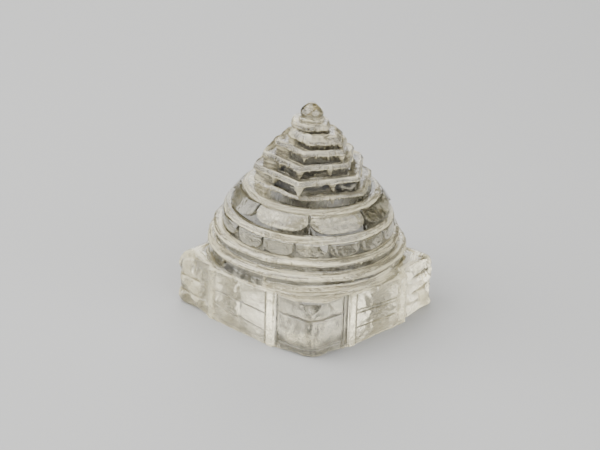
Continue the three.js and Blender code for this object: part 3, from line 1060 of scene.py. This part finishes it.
@dataclass(frozen=True)
class RockCrystal:
    """Clear quartz, worn smooth where it was polished and matt where only the cutter went."""

    clear: Colour = (0.91, 0.85, 0.64, 1.0)
    hazy: Colour = (1.0, 0.955, 0.76, 1.0)
    # painted shade: the dark colours that the clear crystal is painted with where its painted shade is high
    painted_shade_dark: Colour = (0.065, 0.061, 0.046, 1.0)
    painted_shade_cloudy: Colour = (0.17, 0.16, 0.125, 1.0)
    cloud_ends: Pair = (0.35, 0.7)
    matt: Colour = (0.52, 0.46, 0.30, 1.0)
    chalky: Colour = (1.0, 0.92, 0.63, 1.0)
    # painted shade: the darker colour of the matt places
    shaded: Colour = (0.34, 0.30, 0.20, 1.0)
    tone_ends: Pair = (0.42, 0.57)
    # how much of the painted shade the matt places take
    matt_painted_shade: float = 0.15
    painted_light_lift: float = 0.06  # painted light: how much paler the matt places are painted where the painted shade is -1
    ior: float = 1.54
    polish: float = 0.05
    wear: float = 0.16
    blur_from: float = 2.6
    blur: float = 0.2  # how much rougher it gets where its painted shade is above that
    clouds: Triple = (260.0, 4.0, 0.6)  # the scale, detail and roughness of each noise
    specks: Triple = (1700.0, 3.0, 0.65)
    scratches: Triple = (900.0, 3.0, 0.6)
    upright: Triple = (1.0, 1.0, 0.14)
    relief: float = 0.00015
    soft: float = 0.1
    hard: float = 0.6
    marks_round: float = 2.0
    marks_across: float = 1800.0
    marks_end: Pair = (0.0205, 0.022)  # how far from the axis the wheel marked the ledges
    tiers_start: Pair = (0.0262, 0.0272)  # above this the marks follow the tiers' edges
    marks_left: float = 0.2
    matt_roughness: float = 0.22
    matt_transmission: float = 0.6

    def wheel_marks(self, finish: Finish, place: Socket) -> Socket:
        """The fine marks that the cutting wheel left round the axis.

        Args:
            finish: The material.
            place: The place on the object, in metres.

        Returns:
            The marks, 0 on the average.
        """
        parts = finish.node("SeparateXYZ", Vector=place)
        across, along, up = (finish.out(parts, part) for part in range(3))
        radius = (across * across + along * along).root() + 0.0001
        ring = finish.value(
            "CombineXYZ",
            X=across / radius * self.marks_round,
            Y=along / radius * self.marks_round,
            Z=radius * finish.fade(up, *self.tiers_start, self.marks_left) * self.marks_across,
        )
        noise = finish.value(
            "TexNoise", {"noise_dimensions": "4D"},
            Vector=ring, W=up * self.marks_across, Scale=1.0, Detail=3.0, Roughness=0.6,
        )
        return (noise - 0.5) * finish.fade(radius, *self.marks_end, self.marks_left)

    def make(self, name: str) -> bpy.types.Material:
        """Make the material.

        Args:
            name: Its name.

        Returns:
            The material.
        """
        finish = Finish(name)
        place = finish.out(finish.node("TexCoord"), "Object")
        cloud = finish.noise(place, *self.clouds)
        speck = finish.noise(place, *self.specks)
        upright = finish.value("Mapping", Vector=place, Scale=self.upright)
        streak = finish.noise(upright, *self.scratches)
        frost, smoke = finish.attribute(FROST), finish.attribute(PAINTED_SHADE)
        wheel = self.wheel_marks(finish, place)
        patchy = frost + (cloud - 0.5) * 0.1 + (streak - 0.5) * 0.25 + (speck - 0.5) * 0.15
        share = finish.value(
            "MapRange", {"interpolation_type": "SMOOTHSTEP"},
            Value=patchy + wheel * frost * frost * 2.4, From_Min=0.05, From_Max=1.15,
        )
        # painted light: the matt places are painted paler where the painted shade is below 0
        tone = speck * 0.15 + wheel * 1.3 + 0.425 + (smoke * -1.0).above(0.0) * self.painted_light_lift
        light = finish.ramp(cloud, self.cloud_ends, (self.clear, self.hazy))
        dark = finish.ramp(cloud, self.cloud_ends, (self.painted_shade_dark, self.painted_shade_cloudy))
        pale = finish.ramp(tone, self.tone_ends, (self.matt, self.chalky))
        dusky = finish.ramp(tone, self.tone_ends, (self.shaded, self.matt))
        bumps = {"Distance": self.relief, "Height": streak * 0.3 + speck * 0.3 + wheel * 2.4}
        # the clear crystal's colour is painted darker by the painted shade
        clear = finish.node(
            "BsdfPrincipled",
            Base_Color=finish.mix(light, dark, smoke),
            Roughness=self.polish + cloud * streak * self.wear + smoke.above(self.blur_from) * self.blur,
            IOR=self.ior,
            Transmission_Weight=1.0,
            Normal=finish.value("Bump", Strength=self.soft, **bumps),
        )
        matt = finish.node(
            "BsdfPrincipled",
            Base_Color=finish.mix(pale, dusky, smoke * self.matt_painted_shade),
            Roughness=self.matt_roughness,
            IOR=self.ior,
            Transmission_Weight=self.matt_transmission,
            Normal=finish.value("Bump", Strength=self.hard, **bumps),
        )
        mixed = finish.node("MixShader", Fac=share)
        finish.tree.links.new(clear.outputs[0], mixed.inputs[1])
        finish.tree.links.new(matt.outputs[0], mixed.inputs[2])
        return finish.surface(mixed)


@dataclass(frozen=True)
class SolidJoint:
    """Where two tiers of the one crystal run into each other there is no surface to see."""

    def make(self, name: str) -> bpy.types.Material:
        """Make the material, which lets all light straight through."""
        finish = Finish(name)
        return finish.surface(finish.node("BsdfTransparent"))


@dataclass(frozen=True)
class PaleFloor:
    """The plain pale floor."""

    colour: Colour = (0.32, 0.32, 0.315, 1.0)

    def make(self, name: str) -> bpy.types.Material:
        """Make the material."""
        finish = Finish(name)
        return finish.surface(finish.node("BsdfPrincipled", Base_Color=self.colour, Roughness=0.7))


@dataclass
class Yantra:
    """The whole crystal, from the enclosure to the drop."""

    spokes: Spokes = field(default_factory=Spokes)
    hand: Hand = field(default_factory=Hand)

    def tiers(self) -> list[Tier]:
        """All the tiers from below to above, each standing on the last.

        Returns:
            The tiers, with their sizes and places.
        """
        enclosure = Enclosure(self.spokes)
        made: list[Tier] = []
        top = 0.0

        def add(kind: type[Tier], name: str, tall: float, **sizes: Any) -> None:
            """Stand one more tier on the last.

            Args:
                kind: Its class.
                name: Its name.
                tall: Its height.
                sizes: Its other sizes.
            """
            nonlocal top
            seed = FIRST_SEED + 10 * len(made)
            made.append(kind(name=name, foot=top, tall=tall, spokes=self.spokes, seed=seed, **sizes))
            top += tall

        # the darkness that some tiers below are given is painted shade on their clear crystal
        add(EnclosureLine, "enclosure_lower_line", 3.6, enclosure=enclosure, standing=True)
        add(EnclosureLine, "enclosure_middle_line", 3.5, enclosure=enclosure)
        add(EnclosureLine, "enclosure_upper_line", 4.7,
            enclosure=enclosure, ledge_rows=14, ripple=0.09, crest=True)
        add(Girdle, "lower_girdle", 3.7, aside=0.3, wall=2.75, brow=19.1, apron=1.15,
            teeth=((-104.0, 1.3, 1.4), (-72.0, 0.9, 2.2), (14.0, 1.3, 1.7), (-20.0, 0.9, 1.6)))
        add(Girdle, "upper_girdle", 2.5, aside=0.45, rim=19.15, foot_radius=18.8, waist=18.5,
            brow=17.8, wall=1.6, apron=0.08, apron_at=(-48.0, 180.0),
            teeth=((-12.0, 1.5, 0.8), (-95.0, 1.2, 0.7)))
        add(Lotus, "sixteen_petal_lotus", 4.4, aside=0.1, petals=16, turn=0.0, belly=17.55,
            foot_radius=17.5, rim=17.2, brow=16.7, wall=3.05, relief=0.5, side=0.55, power=3.6)
        add(Lotus, "eight_petal_lotus", 4.3, aside=-0.4, milky=(-48.0, 42.0))
        add(TriangleTier, "fourteen_point_tier", 2.1, aside=-0.7, corner=13.7, slope=1.2,
            hollow=0.35, wall=1.75, band=0.55, lean=0.5, wear=1.4, turn=2.0, smoke=3.5, drum=11.9,
            shares=(1.0, 0.93, 0.94, 0.93, 0.97, 1.0),
            teeth=((-101.0, 2.2, 1.9), (-29.0, 1.3, 1.1), (-112.0, 0.9, 0.6), (34.0, 1.6, 1.5),
                   (62.0, 1.8, 1.7), (122.0, 1.8, 1.6), (182.0, 1.8, 1.7)))
        add(TriangleTier, "outer_ten_point_tier", 2.9, aside=0.35, corner=13.0, slope=2.6,
            hollow=0.85, wall=2.35, band=1.05,
            teeth=((-56.5, 2.5, 2.35), (-21.5, 2.0, 1.9), (-88.0, 1.7, 1.5), (34.0, 1.7, 1.6),
                   (64.0, 2.0, 2.0), (94.0, 1.4, 1.3), (124.0, 2.0, 1.9), (184.0, 2.0, 2.0)))
        add(TriangleTier, "inner_ten_point_tier", 2.1, aside=0.5, corner=10.8, slope=2.5,
            hollow=0.65, wall=1.85,
            teeth=((-57.0, 2.0, 1.8), (-19.0, 1.6, 1.5), (-86.0, 1.1, 0.9), (34.0, 1.3, 1.3),
                   (64.0, 1.7, 1.5), (124.0, 1.6, 1.5), (154.0, 1.1, 1.1), (184.0, 1.7, 1.5)))
        add(TriangleTier, "eight_point_tier", 2.4, corner=8.5, slope=2.2, hollow=0.55,
            wall=1.95, band=1.1, lean=0.45, slope_frost=0.2, smoke=1.8,
            teeth=((-57.0, 1.2, 1.1), (-40.0, 0.8, 0.6), (-20.0, 0.7, 0.85), (2.0, 1.5, 1.6),
                   (64.0, 1.3, 1.3), (124.0, 1.3, 1.2), (184.0, 1.3, 1.3)))
        add(TriangleTier, "inner_triangle_tier", 2.7, aside=-0.8, corner=6.6, slope=2.3,
            hollow=0.4, wall=1.3, band=1.6, lean=1.5, wear=0.5, slope_frost=0.35, smoke=2.4,
            teeth=((64.0, 0.9, 1.1), (124.0, 0.9, 1.0), (4.0, 0.9, 1.0)))
        add(TriangleTier, "drop_seat", 1.8, aside=0.2, corner=4.6, slope=1.7, hollow=0.3,
            wall=0.75, lean=0.5, wear=0.6, slope_frost=0.35, smoke=2.4,
            shares=(1.0, 0.95, 0.98, 1.0, 0.95, 0.95))
        add(Drop, "drop", 0.0)
        return made

    def build(self) -> None:
        """Build every tier, dress it and set it in the frame."""
        crystal = RockCrystal().make("rock_crystal")
        joint = SolidJoint().make("solid_joint")
        tiers = self.tiers()
        for place, tier in enumerate(tiers):
            above = tiers[place + 1] if place + 1 < len(tiers) else None
            piece = tier.build(above, self.hand)
            piece.data.materials.append(crystal)
            piece.data.materials.append(joint)
            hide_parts(tier.name)
            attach(piece, "root")
            LOG.info("%s: %d faces", piece.name, len(piece.data.polygons))


@dataclass
class Studio:
    """The floor, the lights and the camera."""

    azimuth: float = 42.0
    elevation: float = 27.0
    roll: float = 1.7
    distance: float = 0.458
    focal_pixels: float = 2200.0
    foot_pixel: Pair = (306.5, 300.0)
    image: tuple[int, int] = (600, 450)
    sensor: float = 36.0
    floor_half: float = 3.0
    floor_drop: float = 0.00005  # keeps the floor just clear of the flat underside
    lamps: tuple[tuple[str, Triple, float, float], ...] = (
        ("key", (-0.1, -0.1, 0.5), 0.5, 4.0),
        ("left", (-0.34, -0.34, 0.3), 0.7, 7.6),
        ("right", (0.5, 0.0, 0.3), 0.7, 7.4),
        ("back", (-0.4, 0.45, 0.3), 0.5, 3.2),
    )
    lit: Triple = (0.0, 0.0, 0.02)  # the place that every lamp faces
    sky: Colour = (0.55, 0.56, 0.57, 1.0)
    sky_strength: float = 0.06

    def camera(self) -> None:
        """Place the camera at the photograph's angle."""
        wide, tall = self.image
        turn, rise = math.radians(self.azimuth), math.radians(self.elevation)
        back = Vector((math.sin(turn) * math.cos(rise), -math.cos(turn) * math.cos(rise), math.sin(rise)))
        across = self.foot_pixel[0] - wide / 2.0
        down = self.foot_pixel[1] - tall / 2.0
        aim = Vector((across, -down, -self.focal_pixels))
        settle = aim.rotation_difference(Vector((0.0, 0.0, -1.0)))
        lean = Quaternion((0.0, 0.0, 1.0), math.radians(self.roll))
        data = bpy.data.cameras.new("camera")
        data.sensor_width = self.sensor
        data.lens = self.focal_pixels / wide * self.sensor
        data.clip_start, data.clip_end = 0.01, 20.0
        camera = stand("camera", data)
        camera.rotation_mode = "QUATERNION"
        camera.location = back * self.distance
        camera.rotation_quaternion = (-back).to_track_quat("-Z", "Y") @ lean @ settle
        bpy.context.scene.camera = camera

    def floor(self) -> None:
        """Lay the floor."""
        size = self.floor_half
        mesh = bpy.data.meshes.new("floor")
        corners = [(-size, -size, 0.0), (size, -size, 0.0), (size, size, 0.0), (-size, size, 0.0)]
        mesh.from_pydata(corners, [], [(0, 1, 2, 3)])
        mesh.materials.append(PaleFloor().make("pale_floor"))
        floor = stand("floor", mesh)
        floor.location.z = -self.floor_drop
        floor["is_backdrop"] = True

    def lamp(self, name: str, place: Triple, size: float, power: float) -> None:
        """Hang a square soft lamp that faces the object.

        Args:
            name: Its name.
            place: Where it hangs, in metres.
            size: The length of its side.
            power: Its power in watts.
        """
        data = bpy.data.lights.new(name, "AREA")
        data.size = size
        data.energy = power
        lamp = stand(name, data)
        lamp.location = place
        lamp.rotation_mode = "QUATERNION"
        lamp.rotation_quaternion = (Vector(self.lit) - Vector(place)).to_track_quat("-Z", "Y")

    def lights(self) -> None:
        """Set the soft studio light."""
        for row in self.lamps:
            self.lamp(*row)
        world = bpy.data.worlds.new("studio")
        world.use_nodes = True
        sky = world.node_tree.nodes["Background"]
        sky.inputs["Color"].default_value = self.sky
        sky.inputs["Strength"].default_value = self.sky_strength
        bpy.context.scene.world = world

    def build(self) -> None:
        """Set up everything round the object."""
        self.camera()
        self.floor()
        self.lights()


def corners() -> list[list[float]]:
    """The lowest and highest corner of what is shown, as plain lists."""
    return [list(corner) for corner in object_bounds()]


def main() -> None:
    """Build the crystal and the studio."""
    logging.basicConfig(level=logging.INFO, format="%(name)s: %(message)s")
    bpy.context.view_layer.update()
    Yantra().build()
    Studio().build()


if __name__ == "__main__":
    main()
